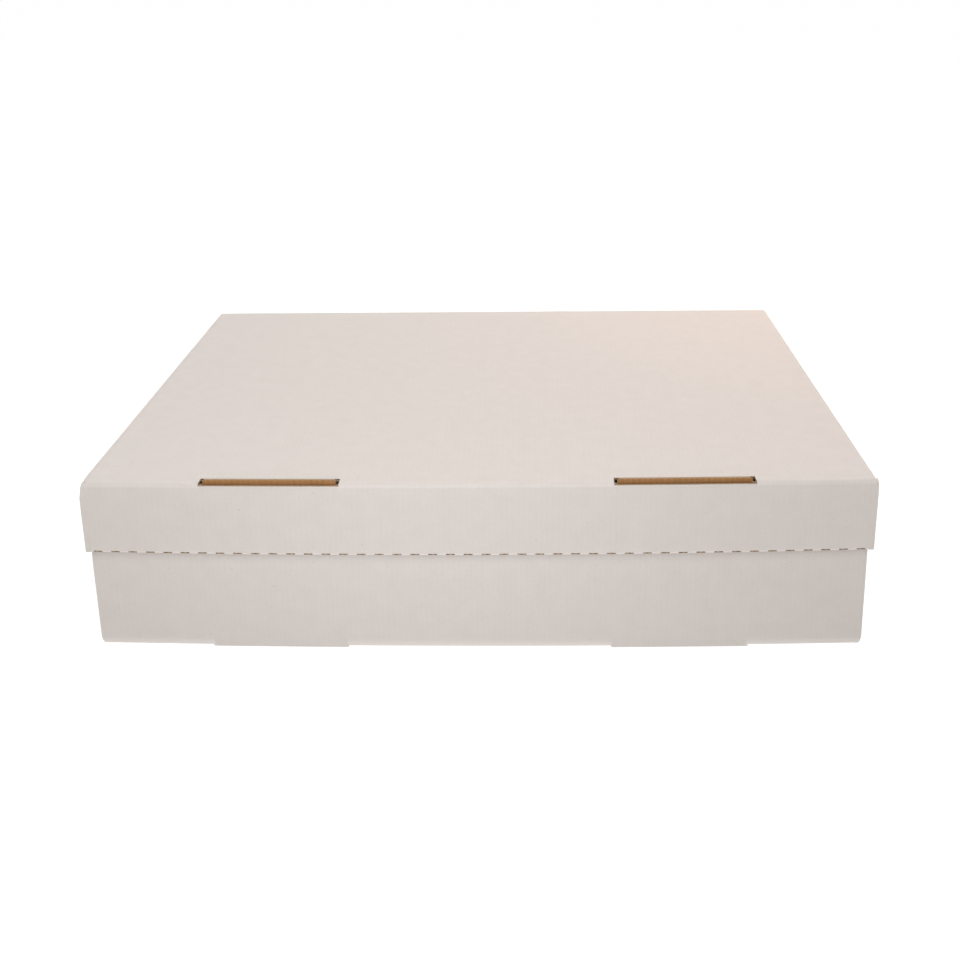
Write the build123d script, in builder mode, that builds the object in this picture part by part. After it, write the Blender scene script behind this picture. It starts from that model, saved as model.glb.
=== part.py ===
import os
from build123d import *

# Cupcake box for twenty-four, in one colour of thin corrugated board. A deep tray and its lid
# are two halves of one folded sheet: the lid is hinged on the fold at the top of the back wall
# and its shallow walls close over the outside of the tray. The front wall of each half is
# rolled over a perforated rim and locks with two tabs in slots beside the panel's fold. The
# side walls are single, and their front corner flaps are held inside the rolled wall.
# Two punched inserts on legs stand side by side in the tray and hold twelve cakes each.
# Millimetres, Z up, front towards -Y. The origin is on the ground, below the box's middle.

# The board, and the outer radii of a scored fold and of a rim's perforated fold.
board = 1.5
layer_gap = 0.1
fold_radius = 2.6
rim_radius = 1.8
overrun = 5.0

# Overall depth of the closed box, clear length inside it, and heights of its walls.
box_depth = 325.3
inner_length = 438.0
tray_wall_height = 103.4
tray_front_drop = 6.0
lid_wall_height = 43.0
side_clearance = 0.25
seat_clearance = 0.3

# How far each end of a front or back wall stands past the side wall beside it.
end_overlap = 0.3

# Slots at the fold of each front wall, and the tabs of the inner layers that lock in them.
slot_length = 78.8
slot_width = 7.5
slot_spacing = 231.6
tab_length = 75.0
tab_corner = 1.2
lid_tab_reach = 1.3
tray_tab_reach = -0.2

# Corner flaps, turned in from the ends of the side walls.
flap_length = 54.0

# Row of short cuts along the outer corner of each rim, so that the board folds square. The
# margin is from the end of the wall to the middle of the first cut.
cut_count = 44
cut_length = 5.0
cut_width = 0.7
cut_margin = 7.2

# Inserts: one punched and folded sheet each.
insert_board = 1.0
insert_height = 36.0
insert_fold_radius = 1.6
insert_play = 0.1
hole_bridge = 12.4
hole_columns = 3
hole_rows = 4

# Sizes that follow from the ones above.
wall_thickness = 3 * board + 2 * layer_gap
box_back = box_depth / 2
tray_side = inner_length / 2 + board
tray_front = -box_back + wall_thickness + side_clearance
lid_side = tray_side + end_overlap + side_clearance + board
lid_front = -box_back
lid_top_height = tray_wall_height + seat_clearance + board
insert_gap = fold_radius - board + insert_play
insert_length = (inner_length - 3 * insert_gap) / 2
hole_diameter = insert_length / hole_columns - hole_bridge
insert_front = tray_front + wall_thickness + insert_gap
insert_back = box_back - 2 * board - layer_gap - insert_gap


def folded_half(seat, side, front, wall_height, front_height, tab_reach, back_wall):
    """One half of the sheet, folded into a tray that opens along the seat plane's normal."""
    half_board = board / 2
    inner_layer = front + wall_thickness - half_board
    outer_layer = front + half_board
    rim_layer = front_height - half_board
    front_flap = front + board + layer_gap + half_board
    back_flap = box_back - board - layer_gap - half_board
    flap_top = front_height - board - seat_clearance
    inner_foot = board + seat_clearance
    fold_bend = fold_radius - half_board
    rim_bend = rim_radius - half_board
    depth_plane = Plane(seat.origin, x_dir=seat.y_dir, z_dir=seat.x_dir)
    length_plane = Plane(seat.origin, x_dir=-seat.x_dir, z_dir=seat.y_dir)

    # The strip from the foot of the inner layer, over the rim and down to the panel.
    strip = [
        (inner_layer, inner_foot),
        (inner_layer, rim_layer),
        (outer_layer, rim_layer),
        (outer_layer, half_board),
    ]
    strip_bends = [rim_bend, rim_bend, fold_bend]
    flap_path = [(flap_length - side, front_flap), (half_board - side, front_flap)]
    flap_bends = [fold_bend]
    if back_wall:
        strip += [(box_back - half_board, half_board), (box_back - half_board, wall_height)]
        strip_bends += [fold_bend]
        flap_path += [(half_board - side, back_flap), (flap_length - side, back_flap)]
        flap_bends += [fold_bend]
        wall_end = back_flap + half_board - fold_radius
    else:
        strip += [(box_back, half_board)]
        wall_end = box_back - fold_radius
        flap_path += [(half_board - side, wall_end)]
    wall_start = front_flap - half_board + fold_radius

    with BuildPart() as half:
        # Panel, front wall and, on the tray, back wall are one strip that always turns inwards.
        with BuildSketch(depth_plane):
            with BuildLine():
                FilletPolyline(*strip, radius=strip_bends)
            trace(line_width=board)
        extrude(amount=side - fold_radius, both=True)

        # Side walls, folded up from the ends of the same panel.
        with BuildSketch(length_plane.offset(wall_start)):
            with BuildLine():
                FilletPolyline(
                    (half_board - side, wall_height),
                    (half_board - side, half_board),
                    (side - half_board, half_board),
                    (side - half_board, wall_height),
                    radius=fold_bend,
                )
            trace(line_width=board)
        extrude(amount=wall_end - wall_start)

        # Corner flaps, turned in from the ends of the side walls.
        with BuildSketch(seat.offset(fold_radius)):
            with BuildLine():
                FilletPolyline(*flap_path, radius=flap_bends)
            trace(line_width=board)
            mirror(about=Plane.YZ)
        extrude(amount=flap_top - fold_radius)

        # Front and back walls run on past the panel and cover the folds of the corner flaps.
        with BuildSketch(seat.offset(fold_radius)):
            with Locations((0, outer_layer)):
                Rectangle(2 * (side + end_overlap), board)
        extrude(amount=front_height - rim_radius - fold_radius)
        if back_wall:
            with BuildSketch(seat.offset(fold_radius)):
                with Locations((0, box_back - half_board)):
                    Rectangle(2 * (side + end_overlap), board)
            extrude(amount=wall_height - fold_radius)

        # Slots: no fold there, so the front wall's raw edge is level with the panel.
        with BuildSketch(seat.offset(fold_radius)):
            with Locations((0, front + (slot_width + board) / 2)):
                with GridLocations(slot_spacing, 0, 2, 1):
                    Rectangle(slot_length, slot_width - board)
        extrude(amount=-fold_radius - overrun, mode=Mode.SUBTRACT)
        with BuildSketch(seat):
            with Locations((0, outer_layer)):
                with GridLocations(slot_spacing, 0, 2, 1):
                    Rectangle(slot_length, board)
        extrude(amount=fold_radius)

        # Tabs at the foot of the inner layer, with their corners clipped.
        with BuildSketch(seat.offset(-tab_reach)):
            with Locations((0, inner_layer)):
                with GridLocations(slot_spacing, 0, 2, 1):
                    Rectangle(tab_length, board)
        tabs = extrude(amount=tab_reach + inner_foot + board)
        tab_tips = tabs.edges().filter_by(Axis.Y).group_by(Axis(seat.origin, seat.z_dir))[0]
        chamfer(tab_tips, tab_corner)

        # Perforation: the cuts go in across the rim's outer corner, halfway between its faces.
        rim_corner = Plane(
            seat.origin + seat.z_dir * front_height + seat.y_dir * front,
            x_dir=seat.x_dir,
            z_dir=seat.z_dir - seat.y_dir,
        )
        cut_depth = rim_radius * 2**0.5 - (rim_radius - board) + layer_gap / 2
        cut_pitch = 2 * (side + end_overlap - cut_margin) / (cut_count - 1)
        with BuildSketch(rim_corner):
            with GridLocations(cut_pitch, 0, cut_count, 1):
                Rectangle(cut_length, cut_width)
        extrude(amount=-cut_depth, mode=Mode.SUBTRACT)
    return half


def cake_insert(middle):
    """One insert: a platform with round holes, folded down at both ends into legs."""
    half_board = insert_board / 2
    depth = insert_back - insert_front
    centre = (insert_front + insert_back) / 2
    foot = Plane((middle, insert_back, board), x_dir=(1, 0, 0), z_dir=(0, -1, 0))

    with BuildPart() as insert:
        with BuildSketch(foot):
            with BuildLine():
                FilletPolyline(
                    (half_board - insert_length / 2, 0),
                    (half_board - insert_length / 2, insert_height - half_board),
                    (insert_length / 2 - half_board, insert_height - half_board),
                    (insert_length / 2 - half_board, 0),
                    radius=insert_fold_radius - half_board,
                )
            trace(line_width=insert_board)
        extrude(amount=depth)

        with BuildSketch(Plane((middle, centre, board + insert_height))):
            with GridLocations(
                insert_length / hole_columns, depth / hole_rows, hole_columns, hole_rows
            ):
                Circle(hole_diameter / 2)
        extrude(amount=-insert_board - overrun, mode=Mode.SUBTRACT)
    return insert


# The tray stands on its panel, and the lid is folded the same way upside down, with no back wall.
base_tray = folded_half(
    Plane.XY, tray_side, tray_front, tray_wall_height,
    tray_wall_height - tray_front_drop, tray_tab_reach, back_wall=True,
)
base_tray.part.label = "base_tray"

lid = folded_half(
    Plane((0, 0, lid_top_height), x_dir=(-1, 0, 0), z_dir=(0, 0, -1)), lid_side, lid_front,
    lid_wall_height, lid_wall_height, lid_tab_reach, back_wall=False,
)
lid.part.label = "lid"

insert_offset = (insert_length + insert_gap) / 2
cake_insert_left = cake_insert(-insert_offset)
cake_insert_left.part.label = "cake_insert_left"

cake_insert_right = cake_insert(insert_offset)
cake_insert_right.part.label = "cake_insert_right"

os.makedirs("parts", exist_ok=True)
export_step(base_tray.part, "parts/base_tray.step")
export_step(lid.part, "parts/lid.step")
export_step(cake_insert_left.part, "parts/cake_insert_left.step")
export_step(cake_insert_right.part, "parts/cake_insert_right.step")
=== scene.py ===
# %% [markdown]
# # A cupcake box of corrugated board
# The box is one sheet of thin corrugated board, white outside and brown inside, cut flat and
# folded into two halves that stay joined at a hinge fold. The CAD model gives every size. Here
# each half is made again the way the real one is, from its flat blank: a grid of small cells
# is laid out on the blank, cells are left out where the blank is punched, and each corner of a
# cell is carried to its place on the folded box. The blank's own measures stay on the mesh as
# a UV map, so flutes and fibres run over every fold without a break.

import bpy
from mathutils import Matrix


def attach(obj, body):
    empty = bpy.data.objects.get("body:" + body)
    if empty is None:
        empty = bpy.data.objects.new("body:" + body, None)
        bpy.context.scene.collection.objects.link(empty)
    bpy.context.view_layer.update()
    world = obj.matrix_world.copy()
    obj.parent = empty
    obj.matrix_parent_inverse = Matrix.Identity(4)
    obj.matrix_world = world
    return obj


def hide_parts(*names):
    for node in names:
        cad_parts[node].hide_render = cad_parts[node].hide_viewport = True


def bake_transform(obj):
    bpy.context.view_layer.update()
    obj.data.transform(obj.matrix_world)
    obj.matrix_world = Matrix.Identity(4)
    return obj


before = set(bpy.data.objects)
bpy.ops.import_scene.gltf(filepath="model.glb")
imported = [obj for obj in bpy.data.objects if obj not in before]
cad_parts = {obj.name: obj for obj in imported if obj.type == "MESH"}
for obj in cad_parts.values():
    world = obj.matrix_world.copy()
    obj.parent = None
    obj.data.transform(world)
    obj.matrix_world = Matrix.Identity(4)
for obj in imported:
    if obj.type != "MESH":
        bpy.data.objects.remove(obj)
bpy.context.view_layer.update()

# %% [markdown]
# The camera comes first, because every later choice is judged through it. It was found by
# fitting the corners of the box, at its real size, to their places in the photograph. The
# picture is a crop, so its middle isn't where the lens points: a small shift takes that up.

# %% Camera
import math

import bmesh
import bpy
from mathutils import Matrix, Vector

mm = 0.001
camera_place = Vector((28.75, -765.63, 387.91)) * mm
camera_yaw, camera_pitch, camera_roll = 0.0181, 0.2952, -0.0120

level_right = Vector((math.cos(camera_yaw), math.sin(camera_yaw), 0))
sight = Vector((
    -math.sin(camera_yaw) * math.cos(camera_pitch),
    math.cos(camera_yaw) * math.cos(camera_pitch),
    -math.sin(camera_pitch),
))
level_up = level_right.cross(sight)
right = math.cos(camera_roll) * level_right + math.sin(camera_roll) * level_up
up = math.cos(camera_roll) * level_up - math.sin(camera_roll) * level_right

camera_data = bpy.data.cameras.new("camera")
camera_data.sensor_width = 36
camera_data.lens = 44.575
camera_data.shift_x = -0.0274
camera_data.shift_y = -0.1766
camera = bpy.data.objects.new("camera", camera_data)
camera.matrix_world = Matrix.Translation(camera_place) @ Matrix(
    (right, up, -sight)
).transposed().to_4x4()
bpy.context.collection.objects.link(camera)
bpy.context.scene.camera = camera
print("camera at", [round(v, 3) for v in camera_place])

# %% [markdown]
# These are the sizes of the CAD model, in metres, with the same names. Everything below is
# placed from them.

# %% Sizes
board = 1.5 * mm
layer_gap = 0.1 * mm
fold_radius = 2.6 * mm
rim_radius = 1.8 * mm
box_depth = 325.3 * mm
inner_length = 438.0 * mm
tray_wall_height = 103.4 * mm
tray_front_drop = 6.0 * mm
lid_wall_height = 43.0 * mm
side_clearance = 0.25 * mm
seat_clearance = 0.3 * mm
end_overlap = 0.3 * mm
slot_length = 78.8 * mm
slot_width = 7.5 * mm
slot_spacing = 231.6 * mm
tab_length = 75.0 * mm
tab_corner = 1.2 * mm
lid_tab_reach = 1.3 * mm
tray_tab_reach = -0.2 * mm
flap_length = 54.0 * mm
cut_count = 44
cut_length = 5.0 * mm
cut_margin = 7.2 * mm

wall_thickness = 3 * board + 2 * layer_gap
box_back = box_depth / 2
tray_side = inner_length / 2 + board
tray_front = -box_back + wall_thickness + side_clearance
lid_side = tray_side + end_overlap + side_clearance + board
lid_front = -box_back
lid_top_height = tray_wall_height + seat_clearance + board
inner_foot = board + seat_clearance
half_board = board / 2
fold_bend = fold_radius - half_board
rim_bend = rim_radius - half_board
print("lid half", round(lid_side * 2 / mm, 1), "mm long")

# %% [markdown]
# A folded board is described by its centre line: straight runs joined by quarter-circle
# bends. The function returns stations along it, each with the length of board used so far,
# so that a station is a place on the flat blank and a place on the folded box at once.

# %% Bent centre lines
arc_steps = 8
no_length = 1e-7


def bent_line(corners, radius_at):
    """Stations (length, point) of a centre line, and the lengths at the ends of its runs."""
    points = [Vector(corner) for corner in corners]
    stations = [(0.0, points[0])]
    ends = [0.0]

    def run_to(point):
        length, last = stations[-1]
        reach = (point - last).length
        if reach > no_length:
            stations.append((length + reach, point))
        ends.append(stations[-1][0])

    for before, corner, after, radius in zip(points, points[1:], points[2:], radius_at):
        back = (before - corner).normalized()
        on = (after - corner).normalized()
        centre = corner + (back + on) * radius
        run_to(corner + back * radius)
        length = stations[-1][0]
        for step in range(1, arc_steps + 1):
            angle = math.pi / 2 * step / arc_steps
            point = centre - on * radius * math.cos(angle) - back * radius * math.sin(angle)
            stations.append((length + radius * angle, point))
        ends.append(stations[-1][0])
    run_to(points[-1])
    return stations, ends


def at_length(stations, length):
    """The point of a centre line at this length of board."""
    for (low, start), (high, stop) in zip(stations, stations[1:]):
        if length <= high:
            return start.lerp(stop, (length - low) / (high - low))
    return stations[-1][1]


print("a fold uses", round(math.pi / 2 * fold_bend / mm, 2), "mm of board")

# %% [markdown]
# The grid lines of a blank are the marks where something starts or ends, such as a slot, and
# enough lines between them for the board to bow smoothly.

# %% Grid lines
cell_size = 7 * mm
same_line = 1e-6


def grid_lines(marks, low, high):
    """The marks between low and high, with lines between them where they are far apart."""
    kept = sorted(
        mark for mark in set(marks) | {low, high} if low - no_length <= mark <= high + no_length
    )
    lines = [kept[0]]
    for mark in kept[1:]:
        gap = mark - lines[-1]
        if gap < same_line:
            continue
        steps = max(1, math.ceil(gap / cell_size))
        start = lines[-1]
        lines += [start + gap * step / steps for step in range(1, steps)] + [mark]
    return lines


def between(lines, low, high):
    """The grid lines from low to high, both ends included."""
    return [line for line in lines if low - same_line <= line <= high + same_line]


print("a corner flap is", len(grid_lines([], 0, flap_length)) - 1, "cells long")

# %% [markdown]
# Board has smooth bends and hard cut edges. A smooth surface breaks only at the edges that are
# marked as sharp, so they are marked where two faces meet at an angle or differ in finish.

# %% Sharp edges
sharp_turn = math.radians(35)


def sharpen(mesh):
    """Smooth faces, with sharp edges at corners and where one finish meets another."""
    work = bmesh.new()
    work.from_mesh(mesh)
    for face in work.faces:
        face.smooth = True
    for edge in work.edges:
        if len(edge.link_faces) == 2:
            one, other = edge.link_faces
            turned = edge.calc_face_angle(0) > sharp_turn
            edge.smooth = one.material_index == other.material_index and not turned
    work.to_mesh(mesh)
    work.free()


print("edges are sharp above", round(math.degrees(sharp_turn)), "degrees")

# %% [markdown]
# Board is modelled as a skin at the middle of its thickness and thickened afterwards. The
# white face is on the skin's front, the brown face on its back, and the cut edges between
# them get the fluted core. Two numbers on each vertex help the finishes: how deep in the board
# it is, for the core's pattern, and how much painted highlight it gets on fold ridges, rims
# and the tray's foot.
# Corners of cells that fall in the same micrometre are one vertex.

# %% Folded board from a skin
white_face, brown_face, cut_edge = range(3)
micrometres_in_metre = 1e6


class Skin:
    """Cells of a blank, gathered with their places on the folded box."""

    def __init__(self, seat, bulge, crease=lambda place: 0.0):
        self.seat, self.bulge, self.crease = seat, bulge, crease
        self.points, self.creases, self.index, self.cells = [], [], {}, []

    def corner(self, place):
        key = tuple(round(v * micrometres_in_metre) for v in place)
        if key not in self.index:
            self.index[key] = len(self.points)
            self.points.append(self.bulge(self.seat @ Vector(place)))
            self.creases.append(self.crease(place))
        return self.index[key]

    def lay(self, across, along, place, wanted=lambda u, v: True):
        """Adds the cells between these grid lines whose middle is wanted."""
        for u0, u1 in zip(across, across[1:]):
            for v0, v1 in zip(along, along[1:]):
                if not wanted((u0 + u1) / 2, (v0 + v1) / 2):
                    continue
                blank = [(u0, v0), (u0, v1), (u1, v1), (u1, v0)]
                corners = [self.corner(place(u, v)) for u, v in blank]
                kept = [i for i in range(4) if corners[i] != corners[i - 1]]
                self.cells.append(([corners[i] for i in kept], [blank[i] for i in kept]))

    def thicken(self, name, materials):
        """The board itself, with one material for each face and one for its edges."""
        mesh = bpy.data.meshes.new(name)
        mesh.from_pydata(self.points, [], [corners for corners, _ in self.cells])
        sheet = mesh.uv_layers.new(name="blank")
        for polygon, (_, blank) in zip(mesh.polygons, self.cells):
            for loop, spot in zip(polygon.loop_indices, blank):
                sheet.data[loop].uv = spot
        for material in materials:
            mesh.materials.append(material)
        piece = bpy.data.objects.new(name, mesh)
        bpy.context.collection.objects.link(piece)

        solidify = piece.modifiers.new("thickness", "SOLIDIFY")
        solidify.thickness = board
        solidify.offset = 0
        solidify.use_even_offset = True
        solidify.material_offset = brown_face
        solidify.material_offset_rim = cut_edge
        evaluated = piece.evaluated_get(bpy.context.evaluated_depsgraph_get())
        solid = bpy.data.meshes.new_from_object(evaluated)
        piece.modifiers.clear()
        piece.data = solid
        solid.name = name

        depth = solid.attributes.new("depth", "FLOAT", "POINT")
        front = len(self.points)
        depth.data.foreach_set("value", [float(i >= front) for i in range(len(solid.vertices))])
        # The second number is a painted highlight on fold ridges, rims and the tray's foot.
        crease = solid.attributes.new("crease", "FLOAT", "POINT")
        crease.data.foreach_set("value", (self.creases * 2)[:len(solid.vertices)])
        sharpen(solid)
        print(name, "has", len(solid.polygons), "faces")
        return piece


# %% [markdown]
# A shader expression such as `mask * 0.2 + 0.5` is easier to read than a list of nodes. This
# small class wraps a socket, so that Python's operators add Math nodes, and one method adds
# every other kind of node. Some nodes have several sockets of one name, so these go by number.

# %% Shader sockets as values
mix_factor, mix_low, mix_high, mix_colour = 0, 6, 7, 2
attribute_value = 2


class Wire:
    """An output socket of a material, for use in expressions."""

    def __init__(self, tree, socket=None):
        self.tree, self.socket = tree, socket

    def add(self, kind, settings, sockets, out=0):
        """A new node: its settings first, then values or links for its input sockets."""
        node = self.tree.nodes.new(kind)
        for name, value in settings.items():
            setattr(node, name, value)
        for name, value in sockets.items():
            if isinstance(value, Wire):
                self.tree.links.new(value.socket, node.inputs[name])
            else:
                node.inputs[name].default_value = value
        return Wire(self.tree, node.outputs[out])

    def math(self, operation, *values):
        return self.add("ShaderNodeMath", {"operation": operation}, dict(enumerate(values)))

    def __add__(self, other):
        return self.math("ADD", self, other)

    def __sub__(self, other):
        return self.math("SUBTRACT", self, other)

    def __mul__(self, other):
        return self.math("MULTIPLY", self, other)

    def mixed(self, low, high):
        """The colour low where this value is 0, and high where it is 1."""
        sockets = {mix_factor: self}
        for slot, colour in ((mix_low, low), (mix_high, high)):
            sockets[slot] = colour if isinstance(colour, Wire) else (*colour, 1)
        settings = {"data_type": "RGBA", "clamp_factor": True}
        return self.add("ShaderNodeMix", settings, sockets, out=mix_colour)


def new_finish(name, roughness, specular):
    """A material with its shader, a wire to start from and a way to plug wires in."""
    material = bpy.data.materials.new(name)
    material.use_nodes = True
    shader = material.node_tree.nodes["Principled BSDF"]
    shader.inputs["Roughness"].default_value = roughness
    shader.inputs["Specular IOR Level"].default_value = specular
    start = Wire(material.node_tree)

    def plug(name, wire):
        material.node_tree.links.new(wire.socket, shader.inputs[name])

    print("finish", name, "started")
    return material, start, plug


# %% [markdown]
# Paper is fibres, and corrugated board is paper over a wave. Noise that is stretched along the
# blank stands for the fibres, and a sine across the flutes for the wave. Both are laid out on
# the blank, so they turn the corners with the board.

# %% Fibres and flutes
flute_pitch = 3.2 * mm
bump_reach = 0.2 * mm


def noise(start, place, scale, detail=3.0, rough=0.5):
    """Noise of about one blotch for each 1 / scale metres, with a mean of one half."""
    sockets = {"Vector": place, "Scale": scale, "Detail": detail, "Roughness": rough}
    return start.add("ShaderNodeTexNoise", {}, sockets)


def blank_place(start, stretch=(1, 1)):
    """The place on the flat blank, stretched so that noise can follow the fibres."""
    place = start.add("ShaderNodeUVMap", {"uv_map": "blank"}, {})
    return start.add("ShaderNodeMapping", {}, {"Vector": place, "Scale": (*stretch, 1)})


def across_flutes(start):
    """The way across the flutes, as an angle that turns once for each flute."""
    place = start.add("ShaderNodeUVMap", {"uv_map": "blank"}, {})
    across = start.add("ShaderNodeSeparateXYZ", {}, {"Vector": place})
    return across * (2 * math.pi / flute_pitch)


def washboard(start):
    """Between -1 and 1 across the flutes, wandering a little as the liner does."""
    wander = noise(start, blank_place(start), scale=40) * 0.4
    return start.math("SINE", across_flutes(start) + wander)


def on_mesh(start, name):
    """One of the two numbers that the skin leaves on each vertex."""
    return start.add("ShaderNodeAttribute", {"attribute_name": name}, {}, out=attribute_value)


def bump(start, height, strength):
    """A normal that tilts with this height of the surface."""
    sockets = {"Strength": strength, "Distance": bump_reach, "Height": height}
    return start.add("ShaderNodeBump", {}, sockets)


print("flutes across the lid:", round(lid_side * 2 / flute_pitch))

# %% [markdown]
# The white liner is bleached paper over a brown core. Close up it is faintly mottled where the
# white layer is thinner, has short fibres and a few grey flecks, and shows the flutes below it
# as a very faint washboard. It gets a painted highlight on the ridge of each fold, along the
# rims and along the tray's foot.

# %% White liner
white_dull, white_clear = (0.53, 0.488, 0.46), (0.68, 0.632, 0.60)
fleck_level = 0.83

white_liner, start, plug = new_finish("white_liner", roughness=0.82, specular=0.25)
clouds = noise(start, blank_place(start), scale=95, detail=4.0, rough=0.6)
specks = noise(start, blank_place(start, (1, 0.45)), scale=1500, detail=2.0)
ripple = washboard(start)
painted_fold_light = on_mesh(start, "crease")
grains = noise(start, blank_place(start), scale=380, detail=0.0)
flecks = start.math("GREATER_THAN", grains, fleck_level)
# The vertex value read above adds a painted highlight on fold ridges, rims and the tray's foot.
tone = clouds * 0.36 + specks * 0.34 + ripple * 0.02 + painted_fold_light * 0.17 - flecks * 0.32 + 0.11
plug("Base Color", tone.mixed(white_dull, white_clear))
height = clouds * 0.12 + specks * 0.25 + ripple * 0.035
plug("Normal", bump(start, height, strength=0.25))

# %% [markdown]
# The inner liner is unbleached kraft paper: the same sheet without the white layer, with
# longer and more contrasting fibres.

# %% Brown liner
kraft_dark, kraft_light = (0.26, 0.12, 0.044), (0.56, 0.31, 0.132)

brown_liner, start, plug = new_finish("brown_liner", roughness=0.85, specular=0.2)
clouds = noise(start, blank_place(start), scale=70, detail=4.0, rough=0.6)
fibres = noise(start, blank_place(start, (1, 0.25)), scale=900, detail=3.0, rough=0.7)
ripple = washboard(start)
tone = clouds * 0.5 + fibres * 0.45 + ripple * 0.05
plug("Base Color", tone.mixed(kraft_dark, kraft_light))
height = fibres * 0.5 + ripple * 0.3
plug("Normal", bump(start, height, strength=0.35))

# %% [markdown]
# A cut edge shows the board's build: two liners, and between them a wavy core. The hollows
# between the paper get a dark colour, a painted shade. The wave runs across the flutes only,
# so an edge cut along a flute shows a plain sandwich, as it does on real board. Depths are
# shares of the board's thickness.

# %% Cut edge
wave_height, core_half, liner_from = 0.27, 0.12, 0.36
hollow_painted_shade = (0.19, 0.13, 0.085)
paper_dark, paper_light = (0.38, 0.28, 0.18), (0.66, 0.52, 0.37)

cut_core, start, plug = new_finish("cut_core", roughness=0.9, specular=0.15)
depth = on_mesh(start, "depth")
wave = start.math("SINE", across_flutes(start)) * wave_height + 0.5
off_wave = start.math("ABSOLUTE", depth - wave)
off_middle = start.math("ABSOLUTE", depth - 0.5)
on_core = start.math("LESS_THAN", off_wave, core_half)
on_liner = start.math("GREATER_THAN", off_middle, liner_from)
paper = start.math("MAXIMUM", on_core, on_liner)
fibres = noise(start, blank_place(start), scale=1200, detail=2.0)
# The hollows between the paper are painted dark as shade.
plug("Base Color", paper.mixed(hollow_painted_shade, fibres.mixed(paper_dark, paper_light)))

# %% [markdown]
# Both halves are folded alike, as they are in the CAD model, so one class works out their
# measures. Its strip is the longest part of the blank: it runs from the inner layer of the
# front wall over the rim, down the outer layer and along the panel, and on the tray up the
# back wall. The liner gets a painted highlight: in a narrow ridge along the rims and the lid's
# folds, and along the tray's foot in a band that fades upwards.

# %% Measures of one half
# These gains and reaches set the painted highlight on the rims, the lid's fold ridges and the
# tray's foot.
rim_highlight_gain, fold_highlight_gain, foot_light_gain = 3.0, 2.9, 6.0
foot_light_reach, lid_ridge_end = 4.0 * mm, 2.7 * mm


def clamped(value):
    """The value, held between 0 and 1."""
    return min(1.0, max(0.0, value))


def hump(way):
    """0 at both ends of the way from 0 to 1, and 1 in the middle."""
    return 4 * way * (1 - way)


class Half:
    """One half of the sheet, folded into a tray that opens along its seat's own Z axis.

    The tray has a back wall, which ends at the height rear. The lid has none.
    """

    def __init__(self, seat, bulge, side, front, wall_height, front_height, rear):
        self.side, self.front, self.rear, self.front_height = side, front, rear, front_height
        self.side_flat = side - fold_radius
        self.inner_layer = front + wall_thickness - half_board
        self.outer_layer = front + half_board
        self.front_flap = front + board + layer_gap + half_board
        self.back_flap = box_back - board - layer_gap - half_board
        self.flap_top = front_height - board - seat_clearance
        self.wall_start = self.front_flap - half_board + fold_radius
        self.wall_end = (self.back_flap + half_board if rear else box_back) - fold_radius
        self.ridge_end = fold_radius + foot_light_reach if rear else lid_ridge_end
        self.foot_heights = (foot_light_reach / 2, foot_light_reach) if rear else ()
        self.skin = Skin(seat, bulge, self.crease)

        rim_layer = front_height - half_board
        corners = [
            (self.inner_layer, inner_foot), (self.inner_layer, rim_layer),
            (self.outer_layer, rim_layer), (self.outer_layer, half_board),
        ]
        bends = [rim_bend, rim_bend, fold_bend]
        if rear:
            corners += [(box_back - half_board, half_board), (box_back - half_board, rear)]
            bends += [fold_bend]
        else:
            corners += [(box_back - fold_radius, half_board)]
        self.strip, ends = bent_line(corners, bends)
        self.rim_start, self.outer_start, self.outer_end = ends[3:6]
        self.panel_start, self.panel_end = ends[6:8]
        self.back_start = ends[8] if rear else None
        self.panel_zero = self.panel_start - (front + fold_radius)

        self.wall, (_, _, wall_foot, wall_top) = bent_line(
            [(0, half_board), (side - half_board, half_board), (side - half_board, wall_height)],
            [fold_bend],
        )
        self.wall_zero = wall_foot - fold_radius
        wall_marks = [length for length, _ in self.wall] + [self.wall_zero + self.flap_top]
        wall_marks += [wall_foot + height for height in self.foot_heights]
        self.wall_lines = grid_lines(wall_marks, self.side_flat, wall_top)
        print("strip of the blank", round(self.strip[-1][0] / mm, 1), "mm long")

    def crease(self, place):
        """How much painted highlight the liner gets at this place."""
        x, y, z = place
        turned = clamped((self.ridge_end - z) / (self.ridge_end - half_board))
        at_front = self.outer_layer - same_line < y < self.front + fold_radius
        at_back = self.rear and y > box_back - fold_radius
        if turned > 0 and (at_front or at_back or abs(x) > self.side_flat):
            if at_front and abs(abs(x) - slot_spacing / 2) < slot_length / 2:
                return 0.0
            return foot_light_gain * turned**2 if self.rear else fold_highlight_gain * hump(turned)
        rolled = clamped((z - self.front_height + rim_radius) / (rim_radius - half_board))
        return rim_highlight_gain * hump(rolled) if y < self.front + rim_radius else 0.0


# %% [markdown]
# The strip is punched with two slots at the fold of the front wall, which take the tabs, and
# with a row of slits along the rim, which let the double board turn sharply. The outer corners
# beside the panel are worn round, the tray's more than the lid's.

# %% The long strip
slit_start, slit_stop = 2 / 8, 7 / 8
tray_corner_cut, lid_corner_cut, corner_rise = 1.7 * mm, 0.5 * mm, 4.4 * mm


def spans(centres, length):
    """The start and the end of a run of this length about each centre."""
    return [(centre - length / 2, centre + length / 2) for centre in centres]


def inside(u, runs):
    """Whether this place lies within one of the runs."""
    return any(low < u < high for low, high in runs)


slot_centres = (-slot_spacing / 2, slot_spacing / 2)
slots, tabs = spans(slot_centres, slot_length), spans(slot_centres, tab_length)


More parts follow.
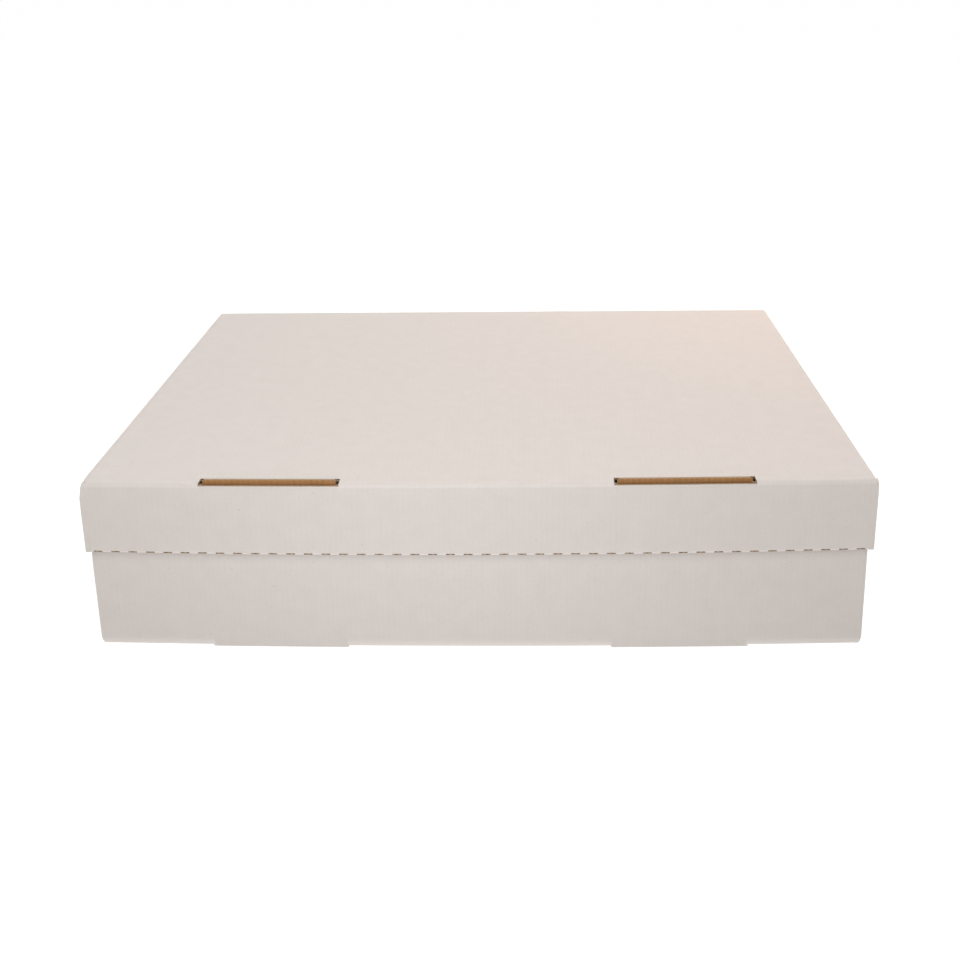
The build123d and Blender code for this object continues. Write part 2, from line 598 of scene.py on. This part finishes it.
def lay_strip(half):
    """Lays the strip, and returns its grid lines across and along."""
    full_reach = half.side + end_overlap
    slot_stop = half.panel_zero + half.front + slot_width
    corner_cut = tray_corner_cut if half.rear else lid_corner_cut
    cut_pitch = 2 * (full_reach - cut_margin) / (cut_count - 1)
    cuts = spans([cut_pitch * (i - (cut_count - 1) / 2) for i in range(cut_count)], cut_length)

    def on_strip(u, v):
        full_length = half.outer_start < v < half.panel_start or v > half.panel_end
        reach = full_reach if full_length else half.side_flat
        in_slot = half.outer_end < v < slot_stop and inside(u, slots)
        on_rim = (v - half.rim_start) / (half.outer_start - half.rim_start)
        in_slit = slit_start < on_rim < slit_stop and inside(u, cuts)
        return abs(u) < reach and not in_slot and not in_slit

    def strip_place(u, v):
        y, z = at_length(half.strip, v)
        if v > half.outer_start:
            round_off = max(0.0, 1 - (z - half_board) / corner_rise) ** 2
            reach = full_reach - corner_cut * round_off
            u = math.copysign(min(abs(u), reach), u)
        return u, y, z

    across_marks = [s * m for s in (-1, 1) for m in (half.side_flat, full_reach)]
    across_marks += [edge for span in slots + cuts for edge in span]
    across_marks += [edge for low, high in tabs
                     for edge in (low, low + tab_corner, high - tab_corner, high)]
    across = grid_lines(across_marks, -full_reach, full_reach)
    along_marks = [length for length, _ in half.strip]
    along_marks += [half.panel_zero + y
                    for y in (half.front + slot_width, half.wall_start, half.wall_end)]
    for height in half.foot_heights:
        along_marks += [half.outer_end - height, half.back_start + height]
    along = grid_lines(along_marks, 0, half.strip[-1][0])
    half.skin.lay(across, along, strip_place, on_strip)
    print(len(half.skin.cells), "cells in the strip")
    return across, along


# %% [markdown]
# At a slot there is no fold, and the front wall's raw edge goes straight down. The tray stands
# on it. The lid's fold takes up a little board, so its raw edge lies lower than its panel. The
# ends of the wall aren't rolled either, and go on past the start of the rim's bend. The inner
# layer ends in two tabs with clipped corners, which stand in the slots.

# %% Raw edges and tabs
lid_edge_drop = 1.2 * mm
rim_end_drop = 0.4 * mm


def lay_raw_edges(half, across, edge_drop):
    """Lays the front wall's foot at the slots, and the unrolled ends of its rim."""

    def lip_place(u, v):
        return u, half.outer_layer, fold_radius - (v - half.outer_end)

    def rim_end_place(u, v):
        return u, half.outer_layer, half.front_height - rim_radius + (half.outer_start - v)

    lip_lines = [half.outer_end, half.outer_end + fold_radius - edge_drop]
    half.skin.lay(across, lip_lines, lip_place, lambda u, v: inside(u, slots))
    rim_end_lines = [half.outer_start - rim_radius + rim_end_drop, half.outer_start]
    half.skin.lay(across, rim_end_lines, rim_end_place, lambda u, v: abs(u) > half.side_flat)


def lay_tabs(half, across, tab_reach):
    """Lays the two tabs at the foot of the inner layer."""
    tab_drop = inner_foot + tab_reach

    def tab_place(u, v):
        clip = max(0, -v - tab_drop + tab_corner)
        for low, high in tabs:
            if low <= u <= high:
                u = min(max(u, low + clip), high - clip)
        return u, half.inner_layer, inner_foot + v

    tab_lines = [-tab_drop, -tab_drop + tab_corner, 0]
    half.skin.lay(across, tab_lines, tab_place, lambda u, v: inside(u, tabs))
    print("tabs", round(tab_drop / mm, 1), "mm long")


# %% [markdown]
# The side walls are folded up from the ends of the panel. Corner flaps are turned in from the
# ends of each side wall, and start above the panel's own fold. The front ones end up between
# the layers of the rolled wall, and the tray's back ones against its back wall.

# %% Side walls and corner flaps


def lay_side_wall(half, along, sign):
    """Lays a side wall, and beyond its ends the part of the panel's fold that it keeps."""

    def wall_place(u, v):
        x, z = at_length(half.wall, abs(u))
        return math.copysign(x, u), v - half.panel_zero, z

    def lay_run(wall_lines, start_y, stop_y, lines):
        run = between(lines, half.panel_zero + start_y, half.panel_zero + stop_y)
        half.skin.lay(sorted(sign * u for u in wall_lines), run, wall_place)

    lay_run(half.wall_lines, half.wall_start, half.wall_end, along)
    bend_lines = between(half.wall_lines, half.side_flat, half.wall_zero + fold_radius)
    ends = [(half.front + board + layer_gap, half.wall_start)]
    ends += [(half.wall_end, box_back - board - layer_gap)] if half.rear else []
    for start_y, stop_y in ends:
        lay_run(bend_lines, start_y, stop_y, [half.panel_zero + y for y in (start_y, stop_y)])


def lay_corner_flaps(half, sign):
    """Lays the flaps that are turned in from the ends of a side wall."""
    flap_lines = between(
        half.wall_lines, half.wall_zero + fold_radius, half.wall_zero + half.flap_top
    )
    turns = [(half.wall_start, half.front_flap, -1)]
    turns += [(half.wall_end, half.back_flap, 1)] if half.rear else []
    for start_y, flap_y, way in turns:
        flap, _ = bent_line(
            [(half.side - half_board, start_y), (half.side - half_board, flap_y),
             (half.side - flap_length, flap_y)],
            [fold_bend],
        )

        def flap_place(u, v):
            x, y = at_length(flap, way * (v - half.panel_zero - start_y))
            return math.copysign(x, u), y, abs(u) - half.wall_zero

        flap_along = grid_lines([length for length, _ in flap], 0, flap[-1][0])
        flap_along = sorted(half.panel_zero + start_y + way * length for length in flap_along)
        half.skin.lay(sorted(sign * u for u in flap_lines), flap_along, flap_place)
    print(len(turns), "corner flaps on one side wall")


# %% [markdown]
# Board this wide doesn't stay flat. In the photograph both front walls bow outwards by a few
# millimetres in the middle, and the panel above follows at its front edge and lies flat at
# the back. The bow is a parabola along the box and grows down the lid's wall. The lid's left
# front corner is tucked in a little at the top, where it has been pushed, and the tray's left
# end leans out a little below the lid that holds it in above. Its foot stands slightly
# forward of the lid, more so on the right.

# %% How the board bows
lid_bow_top, lid_bow_rim = 3.1 * mm, 5.6 * mm
tray_bow_foot, tray_bow_middle, tray_bow_top = 3.6 * mm, 5.4 * mm, 3.3 * mm
corner_tuck, tuck_reach, tuck_fall = 1.8 * mm, 8 * mm, 13 * mm
tray_lean, lean_reach, lean_top, lean_rise = 0.9 * mm, 20 * mm, 65 * mm, 7 * mm
foot_forward, foot_skew = 1.2 * mm, 1.0 * mm


def bowed(point, side, front, bow):
    """The point, moved forward by the bow in the middle of the front, and less elsewhere."""
    across = max(0.0, 1 - (point.x / side) ** 2)
    along = clamped((box_back - point.y) / (box_back - front))
    return Vector((point.x, point.y - bow * across * along, point.z))


def lid_bulge(point):
    """The lid's bow grows down its wall, and its left front corner is tucked in."""
    down = clamped((lid_top_height - point.z) / lid_wall_height)
    moved = bowed(point, lid_side, lid_front, lid_bow_top + (lid_bow_rim - lid_bow_top) * down)
    near_end = clamped(1 - (point.x + lid_side) / tuck_reach)
    near_front = clamped(1 - (point.y - lid_front - board) / tuck_reach)
    near_top = max(0.0, 1 - (lid_top_height - point.z) / tuck_fall) ** 2
    moved.x += corner_tuck * near_end * near_front * near_top
    return moved


def tray_bulge(point):
    """The tray's bow is known at three heights, and a parabola through them gives the rest."""
    low, middle, high = 0.0, lid_top_height - lid_wall_height, tray_wall_height - tray_front_drop
    z = point.z
    bow = (
        tray_bow_foot * (z - middle) * (z - high) / ((low - middle) * (low - high))
        + tray_bow_middle * (z - low) * (z - high) / ((middle - low) * (middle - high))
        + tray_bow_top * (z - low) * (z - middle) / ((high - low) * (high - middle))
    )
    moved = bowed(point, tray_side, tray_front, bow)
    near_end = clamped(1 - (point.x + tray_side) / lean_reach)
    moved.x -= tray_lean * near_end * clamped((lean_top - z) / lean_rise)
    forward = foot_forward + foot_skew * point.x / tray_side
    along = clamped((box_back - point.y) / (box_back - tray_front))
    moved.y -= forward * along * max(0.0, 1 - z / middle)
    return moved


print("the rim of the lid bows by", lid_bow_rim / mm, "mm")

# %% [markdown]
# Now the sheet is folded, first the tray and then the lid, which is the same upside down. The
# tray's back wall stops where the hinge fold starts.

# %% Tray and lid
materials = [white_liner, brown_liner, cut_core]
hinge_height = lid_top_height - fold_radius


def folded(half, tab_reach, edge_drop):
    """The skin of one half, with all its cells laid."""
    across, along = lay_strip(half)
    lay_raw_edges(half, across, edge_drop)
    lay_tabs(half, across, tab_reach)
    for sign in (-1, 1):
        lay_side_wall(half, along, sign)
        lay_corner_flaps(half, sign)
    return half.skin


tray_half = Half(
    Matrix.Identity(4), tray_bulge, tray_side, tray_front, tray_wall_height,
    tray_wall_height - tray_front_drop, hinge_height,
)
tray = folded(tray_half, tray_tab_reach, 0).thicken("tray_board", materials)
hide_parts("base_tray")
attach(tray, "base")

lid_seat = Matrix.Translation((0, 0, lid_top_height)) @ Matrix.Rotation(math.pi, 4, "Y")
lid_half = Half(
    lid_seat, lid_bulge, lid_side, lid_front, lid_wall_height, lid_wall_height, None
)
lid = folded(lid_half, lid_tab_reach, lid_edge_drop).thicken("lid_board", materials)
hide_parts("lid")
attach(lid, "lid")

# %% [markdown]
# A strip of the same sheet joins the tray's back wall and the lid's panel round the hinge
# fold. It laps the back wall by a millimetre.

# %% Hinge fold
hinge_lap = 1 * mm
hinge_reach = lid_side - fold_radius

hinge_skin = Skin(Matrix.Identity(4), lambda point: point)
hinge_line, _ = bent_line(
    [
        (box_back - half_board, hinge_height - hinge_lap),
        (box_back - half_board, lid_top_height - half_board),
        (box_back - fold_radius, lid_top_height - half_board),
    ],
    [fold_bend],
)


def hinge_place(u, v):
    y, z = at_length(hinge_line, v)
    return u, y, z


hinge_skin.lay(
    grid_lines([], -hinge_reach, hinge_reach), [length for length, _ in hinge_line], hinge_place
)
hinge = hinge_skin.thicken("hinge_fold", materials)
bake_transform(hinge)

# %% [markdown]
# The two punched inserts keep their CAD shape and get a finish of smooth white card.

# %% Inserts
card_dull, card_clear = (0.66, 0.64, 0.61), (0.82, 0.80, 0.77)
object_place = 3

insert_card, start, plug = new_finish("insert_card", roughness=0.6, specular=0.35)
place = start.add("ShaderNodeTexCoord", {}, {}, out=object_place)
clouds = noise(start, place, scale=120, detail=4.0, rough=0.6)
specks = noise(start, place, scale=1400, detail=2.0)
plug("Base Color", (clouds * 0.6 + specks * 0.3).mixed(card_dull, card_clear))
for node in ("cake_insert_left", "cake_insert_right"):
    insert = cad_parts[node]
    for slot in insert.material_slots:
        slot.material = insert_card
    if not insert.material_slots:
        insert.data.materials.append(insert_card)
    print(node, "finished")

# %% [markdown]
# The photograph has a white ground without a shadow, as on a lit table: the floor glows a
# little itself. White walls far away hide the horizon. Only the camera sees them, so they
# don't add to the light.

# %% Floor and backdrop
floor_reach, floor_tone, floor_glow = 40, 0.15, 0.97
walls_reach, walls_foot, walls_tone, walls_glow = 16, -1, 0, 1.0
white = (1, 1, 1)


def square(reach, z):
    """The corners of a square round the middle, at this height."""
    return [(reach * x, reach * y, z) for x, y in ((-1, -1), (1, -1), (1, 1), (-1, 1))]


def set_piece(name, points, faces, tone, glow):
    """A matt piece of the set, in a grey tone, with a white glow of its own."""
    mesh = bpy.data.meshes.new(name)
    mesh.from_pydata(points, [], faces)
    finish = new_finish(name + "_finish", roughness=1.0, specular=0.0)[0]
    sockets = finish.node_tree.nodes["Principled BSDF"].inputs
    sockets["Base Color"].default_value = (tone, tone, tone, 1)
    sockets["Emission Color"].default_value = (*white, 1)
    sockets["Emission Strength"].default_value = glow
    mesh.materials.append(finish)
    piece = bpy.data.objects.new(name, mesh)
    bpy.context.collection.objects.link(piece)
    return piece


floor = set_piece("floor", square(floor_reach, 0), [(0, 1, 2, 3)], floor_tone, floor_glow)

walls_corners = square(walls_reach, walls_foot) + square(walls_reach, walls_reach)
walls_faces = [(4, 5, 6, 7), (0, 1, 5, 4), (1, 2, 6, 5), (2, 3, 7, 6), (3, 0, 4, 7)]
walls = set_piece("backdrop", walls_corners, walls_faces, walls_tone, walls_glow)
walls.visible_diffuse = walls.visible_glossy = walls.visible_shadow = False

# %% [markdown]
# A dark sheet below the box keeps the glowing floor from shining up through the slots of the
# tray. It lies inside the thickness of the board, and its edge follows the bowed foot of the
# front wall, which stands further forward where a slot takes the fold away.

# %% Shade under the box
shade_height, shade_steps, shade_tone = 0.05 * mm, 6, 0.1
shade_side = tray_side - fold_radius
slot_near, slot_far = (slot_spacing - slot_length) / 2, (slot_spacing + slot_length) / 2
shade_runs = [
    (-shade_side, -slot_far, fold_radius),
    (-slot_far, -slot_near, half_board),
    (-slot_near, slot_near, fold_radius),
    (slot_near, slot_far, half_board),
    (slot_far, shade_side, fold_radius),
]
shade_edge = []
for start_x, stop_x, inset in shade_runs:
    for step in range(shade_steps + 1):
        x = start_x + (stop_x - start_x) * step / shade_steps
        foot = tray_bulge(Vector((x, tray_front + inset, 0)))
        shade_edge.append((x, foot.y, shade_height))
shade_edge += [(s * shade_side, box_back - fold_radius, shade_height) for s in (1, -1)]
shade = set_piece("floor_shade", shade_edge, [tuple(range(len(shade_edge)))], shade_tone, 0)

# %% [markdown]
# Light comes from all round. A large lamp overhead lights the lid, one in front and above
# throws the soft shadow under the lid's rim, a small one low in front gives the fronts their
# brighter middle, and a warm one stands behind on the right. Three more fill the back and the
# sides, which the photograph doesn't show.

# %% Light
sky_strength = 0.18
cream, amber = (1, 0.99, 0.97), (1, 0.48, 0.22)

world = bpy.data.worlds.new("studio")
world.use_nodes = True
background = world.node_tree.nodes["Background"]
background.inputs["Color"].default_value = (*white, 1)
background.inputs["Strength"].default_value = sky_strength
bpy.context.scene.world = world
bpy.context.scene.view_settings.view_transform = "Standard"

# Each lamp's name, place, target, size, power and colour.
lamps = [
    ("top_lamp", (0.08, 0.3, 1.3), (0, 0, 0.1), 0.8, 9.05, white),
    ("front_lamp", (-0.1, -0.75, 0.75), (0, -0.1, 0.08), 0.45, 3.4, cream),
    ("low_lamp", (-0.03, -0.45, 0.14), (-0.01, -0.16, 0.08), 0.06, 0.22, cream),
    ("warm_lamp", (0.36, 0.34, 0.4), (0.2, 0.14, 0.1), 0.08, 0.4, amber),
    ("back_lamp", (0, 1.5, 1.0), (0, 0.16, 0.05), 0.8, 6.5, white),
    ("left_lamp", (-1.6, 0.3, 0.7), (-0.2, 0.1, 0.05), 0.8, 7.5, white),
    ("right_lamp", (1.6, 0.3, 0.7), (0.2, 0.1, 0.05), 0.8, 7.5, white),
]
for name, place, target, size, power, colour in lamps:
    lamp_data = bpy.data.lights.new(name, "AREA")
    lamp_data.size, lamp_data.energy, lamp_data.color = size, power, colour
    lamp = bpy.data.objects.new(name, lamp_data)
    lamp.location = place
    lamp.rotation_euler = (Vector(target) - Vector(place)).to_track_quat("-Z", "Y").to_euler()
    lamp.visible_camera = False
    bpy.context.collection.objects.link(lamp)
print(len(lamps), "lamps placed")

# %% [markdown]
# Last, the scene is brought up to date.

# %% Update the scene
bpy.context.view_layer.update()
